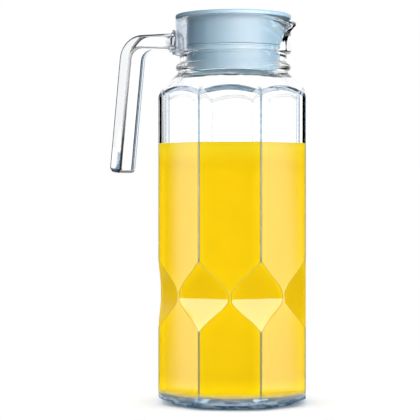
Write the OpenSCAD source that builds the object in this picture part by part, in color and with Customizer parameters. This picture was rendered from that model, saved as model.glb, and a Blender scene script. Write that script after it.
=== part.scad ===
// Eight-sided glass jug with a hot-applied glass handle and a plastic plug lid.
// Millimetres, +Z up. The origin is the middle of the foot, on the table.
// The spout points along +X and the handle along -X, both over a corner of the body.

/* [Glass body] */
// Width of the body across two opposite flats
across_flats = 99.4; // [96:0.2:104]
// Height from the table to the top of the shoulder
body_h = 226.2; // [215:0.2:235]
// Height of the sloping shoulder, measured over a corner
shoulder_h = 16.7; // [13:0.1:20]
// Thickness of the glass in the walls and shoulder
glass_wall = 3.6; // [3:0.1:4.2]
// How far each vertical ridge is rounded back from a sharp corner
ridge_trim = 0.35; // [0.2:0.05:0.8]
// How far the inside corners are rounded back from sharp ones
inner_trim = 1.5; // [0.8:0.1:2.5]

/* [Foot] */
// Outer radius of the foot ring
foot_r = 42.7; // [38:0.1:45]
// Height of the foot ring below the heel
foot_h = 3.4; // [2.4:0.1:5]
// Width of the flat ring that stands on the table
foot_ring_w = 6; // [4:0.1:9]
// Rise of the hollow under the foot
foot_hollow = 1.6; // [0.8:0.1:2.2]
// Radius of the foot's outer edge
foot_round = 1.2; // [0.6:0.1:2]
// Radius of the heel between the walls and the base
heel_round = 4.4; // [3:0.1:7]
// Height of the inside floor above the table
floor_z = 8; // [6.5:0.1:10]
// Radius between the inside floor and the walls
floor_round = 6; // [4:0.5:10]

/* [Scooped notches] */
// Height of the widest place of the notches
notch_z = 75.2; // [65:0.2:90]
// Height of a notch from tip to tip
notch_h = 46.6; // [38:0.2:52]
// Depth of a notch below the corner edge
notch_depth = 7.5; // [5:0.1:7.6]

/* [Neck] */
// Outer radius of the neck at the groove
neck_r = 36.7; // [36:0.1:38]
// Thickness of the glass between the groove and the mouth
neck_wall = 4.4; // [3.6:0.1:5]
// Height of the round bead above the shoulder
bead_h = 5.7; // [4:0.1:7]
// How far the bead stands out of the groove
bead_out = 2.7; // [1.5:0.1:3]
// Height of the groove between bead and collar
groove_h = 6.6; // [4:0.1:9]
// Outer radius of the collar
collar_r = 39.6; // [39:0.1:41]
// Thickness of the glass between the collar and the mouth
collar_wall = 7.3; // [6.4:0.1:8]
// Height of the collar
collar_h = 23.7; // [20:0.1:28]
// Rounding of the collar's two edges
rim_round = 1.2; // [0.6:0.1:1.8]

/* [Spout] */
// Width of the spout where it leaves the collar
spout_w = 27; // [20:0.5:32]
// How far the lip stands out of the collar
spout_reach = 8.5; // [6:0.1:11]
// Height below the rim at which the spout grows out of the collar
spout_drop = 22; // [18:0.5:23]
// How far the tip of the lip lies below the rim
lip_drop = 5; // [3:0.1:7]
// Thickness of the glass at the lip
lip_wall = 3.2; // [2.4:0.1:4]
// Radius of the rounded nose of the spout
nose_round = 4.5; // [3:0.1:6]
// Height below the rim at which the pouring channel starts
channel_drop = 17; // [13:0.5:18]

/* [Handle] */
// Distance from the jug's axis to the outside of the bend
handle_reach = 83.2; // [78:0.2:90]
// Depth of the handle's top below the rim
handle_below_rim = 8.6; // [6:0.1:11]
// Width of the handle band
handle_w = 22.5; // [18:0.5:26]
// Thickness of the band at the root
root_t = 11.4; // [9:0.1:13]
// Thickness of the grip
grip_t = 9; // [8:0.1:11]
// Outer radius of the bend
bend_out_r = 17.5; // [14:0.1:20]
// Inner radius of the bend
bend_in_r = 9.4; // [7:0.1:11]
// Height of the handle's free end above the table
handle_end_z = 158; // [140:0.5:180]
// Angle by which the grip leans outwards
handle_splay = 5.9; // [3:0.1:8]
// How far the weld stands out of the collar
weld_out = 4.4; // [3:0.1:6]
// How far the weld reaches above the handle's top
weld_up = 1.6; // [0.8:0.1:4]
// Height of the weld on the collar
weld_h = 15.5; // [14:0.5:22]
// Depth to which the weld is fused into the neck
weld_fuse = 0.4; // [0.2:0.05:0.8]

/* [Lid] */
// Thickness of the lid's flange
flange_t = 2.8; // [2.2:0.1:4]
// How far the flange stays inside the collar's outline
flange_inset = 0.1; // [0:0.05:1]
// Rounding of the flange's edge
flange_round = 1; // [0.5:0.1:1.4]
// Depth of the plug below the rim
plug_h = 36; // [30:0.1:36.5]
// Wall of the plug
plug_wall = 2.4; // [2:0.1:3]
// Gap between the plug and the mouth
plug_gap = 0.5; // [0.4:0.05:1]
// Depth of the two finger wells
well_depth = 14; // [10:0.5:15]
// Distance from the plug's inside to the finger wells
well_gap = 7.4; // [5.4:0.1:11.4]
// Wall and floor of the finger wells
well_wall = 1.8; // [1.4:0.1:2.2]
// Width of the bar that is pinched between the wells
bar_w = 8; // [6:0.5:10]
// Width of the pouring window in the plug
window_w = 26; // [20:0.5:30]
// Height of the pouring window
window_h = 13; // [10:0.5:14]
// Distance from the rim down to the pouring window
window_drop = 3; // [2:0.1:4]

/* [Seal ring] */
// Height of the soft ring
seal_h = 3; // [2:0.1:4]
// Radial thickness of the ring
seal_t = 1.2; // [1:0.05:1.3]
// Height of the ring above the plug's lower end
seal_up = 13.8; // [8:0.1:16]
// Gap between the ring and what it touches in use
seal_gap = 0.3; // [0.2:0.05:0.35]

/* [Hidden] */
$fn = 96;
glass_tint = [0.76, 0.85, 0.91, 0.45];
lid_tint = [0.70, 0.79, 0.86];
seal_tint = [0.62, 0.71, 0.78];
// Length by which a cut runs past a face
overrun = 1;
sides = 8;
half_turn = 180 / sides;
side_turn = 360 / sides;
steps = 3;

// The mouth leaves its wall of glass both in the groove and in the collar
bore_r = min(neck_r - neck_wall, collar_r - collar_wall);
corner_r = across_flats / 2 / cos(half_turn);
envelope_r = corner_r - ridge_trim;
side_l = across_flats * tan(half_turn);
inner_flats = across_flats - 2 * glass_wall;
inner_r = inner_flats / 2 / cos(half_turn) - inner_trim;
heel_z = foot_h + heel_round;
shoulder_slope = shoulder_h / (envelope_r - neck_r);
// The wall's thickness, measured upright through the shoulder
shoulder_wall = glass_wall * sqrt(1 + pow(shoulder_slope, 2));
bead_z = body_h + bead_h / 2;
collar_z = body_h + bead_h + groove_h;
rim_z = collar_z + collar_h;

// Half outline of a notch: share of its depth, share of its height above its middle
notch_shares = [
    [0, 0.5], [0.38, 0.34], [0.78, 0.185], [0.97, 0.065], [1, 0],
    [0.95, -0.11], [0.61, -0.25], [0.29, -0.35], [0.1, -0.43], [0, -0.5]
];

lip_r = collar_r + spout_reach;
lip_z = rim_z - lip_drop;
spout_z = rim_z - spout_drop;
channel_z = rim_z - channel_drop;
// Distance from the lip's tip back to the line where the spout meets the collar
spout_back = spout_reach + collar_r - sqrt(pow(collar_r, 2) - pow(spout_w / 2, 2));

handle_top = rim_z - handle_below_rim;
weld_top = handle_top + weld_up;
weld_r = collar_r + weld_out;

flange_r = collar_r - flange_inset;
plug_r = bore_r - plug_gap;
well_r = plug_r - plug_wall - well_gap;
plug_z = rim_z - plug_h;
lid_top = rim_z + flange_t;
seal_r = bore_r - seal_gap;
seal_in_r = seal_r - seal_t;
seal_z = plug_z + seal_up;
window_z = rim_z - window_drop - window_h;

// Points of an arc from angle a0 to angle a1
function arc(cx, cy, r, a0, a1, n = 4) =
    [for (i = [0 : n]) [cx + r * cos(a0 + (a1 - a0) * i / n), cy + r * sin(a0 + (a1 - a0) * i / n)]];

// A point of the smooth curve through the points p, in stretch i
function between(p, i, t) =
    let (
        a = p[max(i - 1, 0)],
        b = p[i],
        c = p[i + 1],
        d = p[min(i + 2, len(p) - 1)]
    )
    b + t * ((c - a) / 2 + t * ((2 * a - 5 * b + 4 * c - d) / 2 + t * (3 * b - a - 3 * c + d) / 2));

function smooth(p) =
    concat(
        [for (i = [0 : len(p) - 2]) for (s = [0 : steps - 1]) between(p, i, s / steps)],
        [p[len(p) - 1]]
    );

module octagon_prism(flats, h) {
    cylinder(h = h, r = flats / 2 / cos(half_turn), $fn = sides);
}

// Outside of the jug, turned: foot, heel, wall, shoulder, groove and collar
module turned_outside() {
    rotate_extrude()
        polygon(concat(
            [
                [0, foot_hollow],
                [foot_r - foot_round - foot_ring_w - foot_hollow, foot_hollow],
                [foot_r - foot_round - foot_ring_w, 0]
            ],
            arc(foot_r - foot_round, foot_round, foot_round, -90, 0),
            [[foot_r, foot_h]],
            arc(envelope_r - heel_round, heel_z, heel_round, -90, 0, 6),
            [
                [envelope_r, body_h - shoulder_h],
                [neck_r, body_h],
                [neck_r, collar_z]
            ],
            arc(collar_r - rim_round, collar_z + rim_round, rim_round, -90, 0),
            arc(collar_r - rim_round, rim_z - rim_round, rim_round, 0, 90),
            [[0, rim_z]]
        ));
}

// Inside of the jug, turned: floor, wall, shoulder and mouth
module turned_inside() {
    rotate_extrude()
        polygon(concat(
            [[0, floor_z]],
            arc(inner_r - floor_round, floor_z + floor_round, floor_round, -90, 0, 6),
            [
                [inner_r, body_h - shoulder_wall - (inner_r - neck_r) * shoulder_slope],
                [bore_r, body_h - shoulder_wall + (neck_r - bore_r) * shoulder_slope],
                [bore_r, rim_z + overrun],
                [0, rim_z + overrun]
            ]
        ));
}

// The scoops at the eight corners, set inwards by a wall for the inside of the glass
module notches(inset) {
    for (i = [0 : sides - 1])
        rotate([0, 0, i * side_turn])
            translate([corner_r - inset, side_l / 2, notch_z])
                rotate([90, 0, 0])
                    linear_extrude(height = side_l)
                        polygon(concat(
                            [[overrun + inset, notch_h / 2]],
                            [for (p = smooth(notch_shares)) [-p[0] * notch_depth, p[1] * notch_h]],
                            [[overrun + inset, -notch_h / 2]]
                        ));
}

module bead(grow) {
    translate([0, 0, bead_z])
        rotate_extrude()
            translate([neck_r + bead_out - bead_h / 2, 0])
                circle(r = bead_h / 2 + grow);
}

// A V-shaped prism whose nose runs from (r0, z0) to (r1, z1), open towards the axis
module leaning_v(r0, z0, r1, z1, half_w, back) {
    lean = atan((r1 - r0) / (z1 - z0));
    length = norm([r1 - r0, z1 - z0]);
    open = atan(half_w / back);
    translate([r1, 0, z1])
        rotate([0, lean, 0])
            translate([0, 0, -2 * length])
                linear_extrude(height = 3 * length)
                    polygon(concat(
                        [[-2 * back, -2 * half_w]],
                        arc(-nose_round, 0, nose_round, open - 90, 90 - open, 6),
                        [[-2 * back, 2 * half_w]]
                    ));
}

module spout_outside() {
    intersection() {
        leaning_v(collar_r, spout_z, lip_r, lip_z, spout_w / 2, spout_back);
        translate([neck_r - spout_back, -spout_w, spout_z])
            cube([lip_r, 2 * spout_w, spout_drop]);
    }
}

module spout_channel() {
    intersection() {
        leaning_v(bore_r, channel_z, lip_r - lip_wall, lip_z, spout_w / 2 - lip_wall / 2, spout_back);
        translate([neck_r - spout_back, -spout_w, channel_z])
            cube([lip_r, 2 * spout_w, channel_drop + overrun]);
    }
}

// Slope of the spout's top from the rim down to the lip
module lip_slope() {
    translate([collar_r - rim_round, -spout_w, rim_z])
        rotate([0, atan(lip_drop / (spout_reach + rim_round)), 0])
            cube([2 * lip_r, 2 * spout_w, spout_drop]);
}

module glass_jug() {
    color(glass_tint)
        difference() {
            union() {
                intersection() {
                    turned_outside();
                    octagon_prism(across_flats, rim_z + overrun);
                }
                bead(0);
                difference() {
                    spout_outside();
                    lip_slope();
                }
            }
            notches(0);
            difference() {
                intersection() {
                    turned_inside();
                    octagon_prism(inner_flats, rim_z + 2 * overrun);
                }
                notches(glass_wall);
            }
            spout_channel();
        }
}

// Side outline of the handle, as distance from the axis and height
function handle_outline() =
    let (
        out = [cos(handle_splay), sin(handle_splay)],
        down = [sin(handle_splay), -cos(handle_splay)],
        outer_c = [handle_reach - bend_out_r, handle_top - bend_out_r],
        inner_c = [handle_reach - grip_t - bend_in_r, handle_top - root_t - bend_in_r],
        outer = outer_c * out + bend_out_r,
        inner = inner_c * out + bend_in_r,
        half_t = (outer - inner) / 2,
        middle = (outer + inner) / 2,
        run = (out[1] * middle - handle_end_z - half_t) / cos(handle_splay),
        end = out * middle + down * run
    )
    concat(
        [[bore_r, handle_top]],
        arc(outer_c[0], outer_c[1], bend_out_r, 90, handle_splay, 10),
        arc(end[0], end[1], half_t, handle_splay, handle_splay - 180, 10),
        arc(inner_c[0], inner_c[1], bend_in_r, handle_splay, 90, 8),
        [[bore_r, handle_top - root_t]]
    );

// Side outline of the weld, a pad that thins out up and down the collar
function weld_outline() =
    [
        [bore_r, weld_top],
        [collar_r + weld_out / 4, weld_top],
        [weld_r, weld_top - weld_h / 4],
        [weld_r, weld_top - weld_h * 2 / 3],
        [collar_r + weld_out / 4, weld_top - weld_h],
        [bore_r, weld_top - weld_h]
    ];

module glass_handle() {
    color(glass_tint)
        difference() {
            mirror([1, 0, 0])
                translate([0, handle_w / 2, 0])
                    rotate([90, 0, 0])
                        linear_extrude(height = handle_w)
                            union() {
                                polygon(handle_outline());
                                polygon(weld_outline());
                            }
            cylinder(h = collar_z, r = neck_r - weld_fuse);
            translate([0, 0, collar_z])
                cylinder(h = 2 * collar_h, r = collar_r - weld_fuse);
            bead(-weld_fuse);
        }
}

module seal_ring() {
    color(seal_tint)
        translate([0, 0, seal_z])
            difference() {
                cylinder(h = seal_h, r = seal_r);
                translate([0, 0, -overrun])
                    cylinder(h = seal_h + 2 * overrun, r = seal_in_r);
            }
}

// Flange and plug of the lid, turned, with the groove for the ring
module turned_lid() {
    rotate_extrude()
        polygon(concat(
            [
                [0, rim_z],
                [plug_r - plug_wall, rim_z],
                [plug_r - plug_wall, plug_z],
                [plug_r, plug_z],
                [plug_r, seal_z - seal_gap],
                [seal_in_r - seal_gap, seal_z - seal_gap],
                [seal_in_r - seal_gap, seal_z + seal_h + seal_gap],
                [plug_r, seal_z + seal_h + seal_gap],
                [plug_r, rim_z],
                [flange_r, rim_z]
            ],
            arc(flange_r - flange_round, lid_top - flange_round, flange_round, 0, 90),
            [[0, lid_top]]
        ));
}

// One finger well on either side of the bar, as a solid to cut or to leave
module wells(grow, z, h) {
    for (side = [-1, 1])
        intersection() {
            translate([0, 0, z])
                cylinder(h = h, r = well_r + grow);
            translate([-2 * well_r, side * (bar_w / 2 - grow + well_r) - well_r, z - overrun])
                cube([4 * well_r, 2 * well_r, h + 2 * overrun]);
        }
}

module lid() {
    color(lid_tint)
        difference() {
            union() {
                turned_lid();
                wells(well_wall, lid_top - well_depth - well_wall, well_depth);
            }
            wells(0, lid_top - well_depth, well_depth + overrun);
            translate([-plug_r - overrun, -window_w / 2, window_z])
                cube([plug_r - well_r - well_wall, window_w, window_h]);
        }
}

glass_jug();
glass_handle();
seal_ring();
lid();
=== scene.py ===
"""Eight-sided glass jug with a welded glass handle, a plug lid and orange juice, on its frame."""
import math

import bpy
import numpy as np
from bpy.props import FloatProperty, PointerProperty, StringProperty
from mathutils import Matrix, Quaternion, Vector


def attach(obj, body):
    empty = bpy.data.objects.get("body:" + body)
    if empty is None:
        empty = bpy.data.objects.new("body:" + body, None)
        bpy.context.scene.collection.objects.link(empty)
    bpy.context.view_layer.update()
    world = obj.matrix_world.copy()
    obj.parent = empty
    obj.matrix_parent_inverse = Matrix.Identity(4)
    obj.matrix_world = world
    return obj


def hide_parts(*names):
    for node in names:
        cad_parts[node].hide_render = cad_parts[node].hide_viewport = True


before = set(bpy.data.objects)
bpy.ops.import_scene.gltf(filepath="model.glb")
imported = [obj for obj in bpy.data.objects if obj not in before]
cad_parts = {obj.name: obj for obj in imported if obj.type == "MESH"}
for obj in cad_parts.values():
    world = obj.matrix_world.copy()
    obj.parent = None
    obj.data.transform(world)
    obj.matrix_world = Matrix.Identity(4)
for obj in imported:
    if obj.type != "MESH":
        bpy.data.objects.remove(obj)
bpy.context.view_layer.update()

bl_info = {
    "name": "Glass Jug with Plug Lid",
    "version": (1, 0, 0),
    "blender": (4, 5, 0),
    "location": "View3D > Sidebar > Jug",
    "description": "Models and dresses an eight-sided glass jug with its handle, lid and juice",
    "category": "Add Mesh",
}

MM = 0.001
SIDES = 8
HALF_TURN = math.pi / SIDES
SIDE_TURN = 2 * math.pi / SIDES
MERGE = 0.002 * MM

# Half outline of a scoop: share of its depth, share of its height above its middle
NOTCH_SHARES = (
    (0, 0.5), (0.38, 0.34), (0.78, 0.185), (0.97, 0.065), (1, 0),
    (0.95, -0.11), (0.61, -0.25), (0.33, -0.35), (0.15, -0.43), (0, -0.5),
)
NOTCH_STEPS = 5
# Where the grid's lines cross half a flat, the rounded edge of the scoop and half the scoop
FLAT_SHARES = (0, 0.3, 0.6, 0.85, 1)
EDGE_SHARES = (0, 1 / 3, 2 / 3, 1)
SCOOP_SHARES = (2 / 3, 1 / 3, 0)
# Largest rounding beside a scoop, as a share of the rest of the flat and of half the scoop's
# chord, and how far beyond it the flat's lines start, as a share of the rounding
FLAT_LIMIT, CHORD_LIMIT, FLAT_START = 0.5, 0.7, 0.4
# How evenly the round rows' points are spaced at the spout, and how strongly the rest crowd
EVEN_SHARE, SPOUT_CROWD = 0.35, 1.2
# Rows of the base's middle, the roundings at heel and floor, the wall below and above the
# scoops, the arched edge, the cone, the collar and the mouth, as shares of their stretch
DISC_SHARES = (0, 0.4, 0.8)
HEEL_SHARES = (0, 0.3, 0.6, 0.85, 0.97, 1)
FLOOR_SHARES = (0, 0.25, 0.5, 0.7, 0.9, 1)
BELOW_SHARES = (0.08, 0.3, 0.55, 0.8, 0.93)
ABOVE_SHARES = (0.02, 0.08, 0.25, 0.5, 0.7, 0.725, 0.93)
ARCH_SHARES = (0, 0.08, 0.2, 0.5, 0.8, 0.92, 1)
CONE_SHARES = (0.2, 0.45, 0.7, 0.9)
COLLAR_SHARES = (0, 0.1, 0.22, 0.35, 0.48, 0.6, 0.7, 0.8, 0.88, 0.94, 1)
MOUTH_SHARES = (1, 0.92, 0.84, 0.76, 0.66, 0.56, 0.46, 0.36, 0.26, 0.12, 0)
# Rim, as shares of its rounding: inwards from the wall, down from the top
RIM_STEPS = ((0.08, 0.6), (0.3, 0.3), (0.6, 0.08), (1, 0))
# Steps of the rounded bead and of the small roundings at collar and foot, and the groove's
# rows below its upper rounding
BEAD_STEPS, EDGE_STEPS, GROOVE_ROWS = 9, 4, 3
# Angles between which the bead shows, in degrees
BEAD_ARC = (-68, 86)
# Edge of the foot's hollow (millimetres inwards, share of its rise) and the step between foot
# and heel (millimetres outwards, down)
HOLLOW_EDGE = ((3, 1), (1.6, 0.8), (0.8, 0.25), (0, 0))
HEEL_STEP = ((0, 0.7), (0.2, 0.2), (0.7, 0))
# Lid: steps round it and round the ring; roundings of the plug's end, of the flange's root, lip
# and top, of cups, wells and window, depth of its dish, how much the sharp edges of lid and
# ring are softened, and the ring's lip as (inwards, up), in millimetres
LID_STEPS, RING_STEPS = 144, 128
END_R, ROOT_R, LIP_R, TOP_R, CUP_R, WELL_R, WINDOW_R, DISH = 0.6, 0.4, 0.5, 1, 3, 2, 3, 0.5
LID_SOFT, RING_SOFT = 0.3, 0.12
RING_LIP = ((0.3, 0), (0, 0.3), (0, 0.9), (0.45, 1.2))
# The juice's surface from its rim inwards: share of the width, share of the meniscus
JUICE_TOP = ((1, 1), (0.992, 0.5), (0.975, 0.18), (0.95, 0.03), (0.9, 0), (0.5, 0), (0, 0))
# Rounding of the groove, the spout's change-over and the shoulder inside, in millimetres
GROOVE_ROUND, SPOUT_BLEND, INNER_ARCH = 0.6, 0.6, 1.6
# Angles off the middle of the spout and of its channel over which they fade, in degrees, the
# powers with which they grow upwards, how far past the lip they grow on, the channel's half
# opening in degrees and the rounding of the spout's nose
SPOUT_FADE, CHANNEL_FADE = (26, 38), (30, 44)
SPOUT_POWER, CHANNEL_POWER, SPOUT_OVER = 3, 1.3, 1.1
CHANNEL_OPENING, NOSE = 47, 0.045

# How strongly the painted dark edge shade shows, a blue-grey that stands in for the dark
# surroundings seen refracted at the glass's edges: rows of the foot, rows of the arched edge,
# and how fast the ridges lose it where a scoop opens
FOOT_LINES, FOOT_LINE = (8, 9, 14, 15), 0.8
ARCH_MARKS = (0, 1, 0.6, 0.5, 0.6, 1, 0)
RIDGE_LOSS = 12
# How cloudy it is, where it also takes the foot's painted streaks of highlight and dark
# reflection: share of the floor's height over which the foot clears, the last rows of the ridges,
# the arched edge, the handle's root, and the collar beside the weld with the angles off the handle
# over which it fades; beside the weld this paints a frosty reflection, and on the arched edge a
# pale blue band
FOOT_CLEARS, RIDGE_CLOUD, RIDGE_ROWS, ARCH_CLOUD, ROOT_CLOUD = 0.3, 0.35, 2, 0.5, 0.15
WELD_CLOUD, WELD_FADE = 0.5, (50, 66)
# Handle: how far its root sinks into the collar and above its end the end's rounding reaches,
# in millimetres; shares of the root's and the grip's stretches, steps of the bend, how fast the
# root thins; ripples of the weld along it and two round it: reach, how often, turn along it
ROOT_SINK, END_ZONE = 2, 2
ROOT_STEPS, GRIP_STEPS, BEND_STEPS, THINNING = (0.4, 0.6), (0.3, 0.4, 0.3), 10, 1.2
WELD_RIPPLE, ROUND_RIPPLES = (0.09, 16), ((0.05, 5, 9), (0.05, 11, -14))
# Steps of the weld along and round it, where its taper starts and how strong it is
WELD_SLICES, WELD_STEPS, TAPER_START, TAPER = 12, 64, 0.55, 0.3 / 0.2
# Where its weld ends and how its painted dark shade waves there, up and across, for each metre;
# the share of the rounded edges that a painted dark line takes, for the dark surroundings seen
# refracted along them; the height above which the bend's inner line is fainter, how strong it is
# there, and how strong the lines on the far side are
WELD_END, WELD_SHADE_WAVES = 46.5, (1900, 900)
LINE_SHARES, BEND_Z, BEND_LINE, FAR_LINE = (0.02, 0.98), 205, 0.6, 2

# Glass: refraction, cloudiness where a mark is full, streaks of painted highlight and painted dark
# reflection in the foot (cells for each metre, how flat, and the noise between which they go from
# dark to bright), a ridge's share of the cloudiness, and the bounces after which a caught ray
# ends in a painted glow of the edge shade's colour, and how strongly it glows
GLASS_IOR, JUICE_IOR, PLASTIC_IOR = 1.52, 1.34, 1.5
GLASS_CLOUD, HANDLE_CLOUD = 0.6, 0.9
STREAK_SCALE, STREAK_FLAT, STREAK_STEP = 110, (1, 1, 4), (0.36, 0.64)
RIDGE_SHARE, CAUGHT, TRAPPED_GLOW_LEVEL = 0.5, 6.5, 0.7
# Juice: pulp (cells for each metre), depth of the froth and of the painted glow under its
# surface, heights over the floor between which the lower glow fades and above which it starts,
# its share there, and the glow's strength
PULP_SCALE, FROTH_AND_GLOW_DEPTH, GLOW_FADE, GLOW_START, GLOW_FOOT = 60, 16, (14, 2), 0.3, 0.6
GUIDED_LIGHT, JUICE_TONE, JUICE_ROUGH, JUICE_SHINE = 0.45, (0.97, 1.03), 0.35, 0.1
# Plastics: roughness, grain in millimetres and milkiness of the lid and of the ring; how much
# the grain changes roughness and tone, its relief and depth in millimetres; how far red, green
# and blue light goes into it, and how deep in millimetres
LID_FINISH, RING_FINISH = (0.7, 0.5, 0.15), (0.5, 0.4, 0)
ROUGH_SPREAD, GRAIN_TONE, GRAIN_RELIEF, GRAIN_DEPTH = 0.05, (0.98, 1.02), 0.08, 0.02
MILK_REACH, MILK_DEPTH = (0.6, 0.8, 1), 6

# Upright softboxes: name, direction they stand in (degrees), how far to the left of it they
# begin and end, from and to which height, in millimetres, brightness, lean in degrees, share of
# their half width that fades, and whether flags keep them off the neck and the far sides
SOFTBOXES = (
    ("front_left", -115, -200, 200, 45, 1080, 6.8, 0, 0.45, True),
    ("front_right", -25, -200, 200, 45, 1080, 6.8, 0, 0.45, True),
    ("side_left", -162, 24, 115, -20, 290, 2.4, 0, 0.48, False),
    ("side_right", 21.8, -130, -8, -20, 290, 2.6, 3, 0.5, False),
)
SOFTBOX_AWAY, SOFTBOX_ENDS = 900, 0.02
# Heights between which the flags fade, and distances from the axis towards the softbox
NECK_FLAG = (165, 195)
SIDE_FLAG = (24, 32)
# Lamps of the lid: direction and rise of the key's way, its distance and the height it aims at,
# in metres, its width and watts; height, width and watts of the fill; their colour
KEY_ANGLE, KEY_RISE, KEY_AWAY, KEY_AIM, KEY_WIDTH, KEY_WATTS = -34, 0.1, 0.9, 0.24, 0.9, 52
FILL_Z, FILL_WIDTH, FILL_WATTS = 0.185, 0.06, 0.16
LID_LIGHT = (1, 0.87, 0.79)
# Floor: its radius in metres; where its softbox bands start and how long they fade, distances
# over which its paint gives way to white, in millimetres, and its brightness to what is matt
FLOOR_R = 40
BAND_START, BAND_FADE, PAINT_FADE, FLOOR_BOUNCE = 115, 40, (56, 105), 1.5
# World: direction of the black cards, the angles off it over which the left and the right one
# fade, their level and how it falls in red, green and blue; the dim room before the jug in
# gloss; brightness behind glass; brightness to what is matt, and its least share
CARD_ANGLE, LEFT_CARD, RIGHT_CARD = 25, (8, 34), (8, 32)
CARD_LEVEL, CARD_POWERS = 0.24, (1.7, 1.2, 0.85)
ROOM_FADE, ROOM_LEVEL = (138, 170), 0.02
BACKDROP, DAYLIGHT, DAYLIGHT_FRONT = 1.2, 1.31, 0.78
# A count over which a ray has bounced off something matt
BOUNCED = 0.5
# Camera: distance and height in metres, angle off the handle's plane, lens and sensor in
# millimetres, width of the photograph and its pixel that the jug's axis falls on
CAMERA_AWAY, CAMERA_HEIGHT, CAMERA_TURN = 1.117, 0.1419, 25
LENS, SENSOR, PICTURE, AXIS_AT = 139.6, 36, 420, (233.2, 195)


def length(name, description, default):
    """A size in metres, given in millimetres."""
    return FloatProperty(name=name, description=description, default=default * MM, unit="LENGTH",
                         subtype="DISTANCE", precision=4)


def tint(name, description, default):
    return StringProperty(name=name, description=description, default=default)


class JugSizes(bpy.types.PropertyGroup):
    """Sizes of the glass body."""

    across_flats: length("Across flats", "Width of the body across two opposite flats", 99.4)
    body_h: length("Body height", "Height from the table to the top of the shoulder", 226.2)
    shoulder_h: length("Shoulder height", "Height of the sloping shoulder over a corner", 16.7)
    wall: length("Glass thickness", "Thickness of the walls", 3.6)
    ridge_trim: length("Ridge trim", "How far each outer ridge is cut back", 0.2)
    ridge_round: length("Ridge rounding", "Half width of the rounding at ridges and scoops", 0.3)
    inner_trim: length("Inner trim", "How far the inside corners are cut back", 1.5)
    inner_scoop: length("Inner scoop depth", "Depth of a scoop on the inside", 6.4)
    inner_round: length("Inner rounding", "Half width of the rounding inside", 5.5)
    arch_round: length("Shoulder rounding", "Rounding of the arched edge below the shoulder", 2.2)
    foot_r: length("Foot radius", "Outer radius of the foot ring", 42.7)
    foot_h: length("Foot height", "Height of the foot ring below the heel", 3.4)
    foot_ring_w: length("Foot ring width", "Width of the ring that stands on the table", 6)
    foot_hollow: length("Foot hollow", "Rise of the hollow under the foot", 1.6)
    foot_round: length("Foot rounding", "Radius of the foot's outer edge", 1.2)
    heel_round: length("Heel rounding", "Radius between the walls and the base", 4.4)
    floor_z: length("Inside floor", "Height of the inside floor", 8)
    floor_round: length("Floor rounding", "Radius between the inside floor and the walls", 3.5)
    notch_z: length("Scoop height", "Height of the widest place of the scoops", 75.2)
    notch_h: length("Scoop length", "Height of a scoop from tip to tip", 46.6)
    notch_depth: length("Scoop depth", "Depth of a scoop below the corner edge", 7.5)
    neck_r: length("Neck radius", "Outer radius of the neck at the groove", 36.7)
    bore_r: length("Mouth radius", "Inside radius of the mouth", 32.3)
    bead_h: length("Bead height", "Height of the round bead", 5.7)
    bead_out: length("Bead reach", "How far the bead stands out of the groove", 2.7)
    groove_h: length("Groove height", "Height of the groove between bead and collar", 6.6)
    collar_r: length("Collar radius", "Outer radius of the collar", 39.6)
    collar_h: length("Collar height", "Height of the collar", 23.7)
    rim_round: length("Rim rounding", "Rounding of the collar's edges", 1.2)
    spout_w: length("Spout width", "Width of the spout at the collar", 27)
    spout_reach: length("Spout reach", "How far the lip stands out of the collar", 8.5)
    spout_drop: length("Spout depth", "Height below the rim at which the spout starts", 22)
    lip_drop: length("Lip drop", "How far the lip's tip lies below the rim", 5)
    lip_wall: length("Lip thickness", "Thickness of the glass at the lip", 3.2)
    channel_drop: length("Channel depth", "Height below the rim at which the channel starts", 17)


class HandleSizes(bpy.types.PropertyGroup):
    """Sizes of the handle."""

    reach: length("Reach", "Distance from the axis to the outside of the bend", 83.2)
    top: length("Top", "Height of the handle's top", 253.6)
    width: length("Width", "Width of the band", 22.5)
    root_t: length("Root thickness", "Thickness of the band at the root", 11.4)
    grip_t: length("Grip thickness", "Thickness of the grip", 9.3)
    bend_r: length("Bend radius", "Outer radius of the bend", 17.5)
    end_z: length("End height", "Height of the free end", 158)
    edge_r: length("Edge radius", "Radius of the long edges", 1.7)
    end_r: length("End radius", "Radius of the free end", 3.8)
    splay: FloatProperty(name="Splay", description="Angle by which the grip leans outwards",
                         default=math.radians(5.9), subtype="ANGLE", unit="ROTATION")
    weld_out: length("Weld reach", "How far the weld stands out of the collar", 4.4)
    weld_h: length("Weld height", "Height of the weld on the neck", 15.5)


class LidSizes(bpy.types.PropertyGroup):
    """Sizes of the lid and its ring."""

    flange_r: length("Flange radius", "Outer radius of the flange", 39.5)
    flange_t: length("Flange thickness", "Thickness of the flange", 2.8)
    plug_r: length("Plug radius", "Outer radius of the plug", 31.8)
    plug_h: length("Plug depth", "Depth of the plug below the rim", 36)
    plug_wall: length("Plug wall", "Wall of the plug", 2.4)
    well_depth: length("Well depth", "Depth of the finger wells", 14)
    well_r: length("Well radius", "Radius of the two wells together", 22)
    well_wall: length("Well wall", "Wall of the wells", 1.8)
    bar_w: length("Bar width", "Width of the grip bar", 8)
    window_w: length("Window width", "Width of the pouring window", 26)
    window_h: length("Window height", "Height of the pouring window", 13)
    window_drop: length("Window drop", "Distance from the rim to the window", 3)
    seal_h: length("Ring height", "Height of the soft ring", 3)
    seal_t: length("Ring thickness", "Radial thickness of the ring", 1.2)
    seal_up: length("Ring place", "Height of the ring above the plug's end", 13.8)
    seal_gap: length("Ring gap", "Gap round the ring", 0.3)


class DrinkSizes(bpy.types.PropertyGroup):
    """Sizes of the juice."""

    level: length("Level", "Height of the juice above the table", 176)
    wetting: length("Wetting", "How far the juice reaches into the glass, to leave no air", 0.12)
    meniscus: length("Meniscus", "How far the juice climbs the wall", 0.9)


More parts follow.
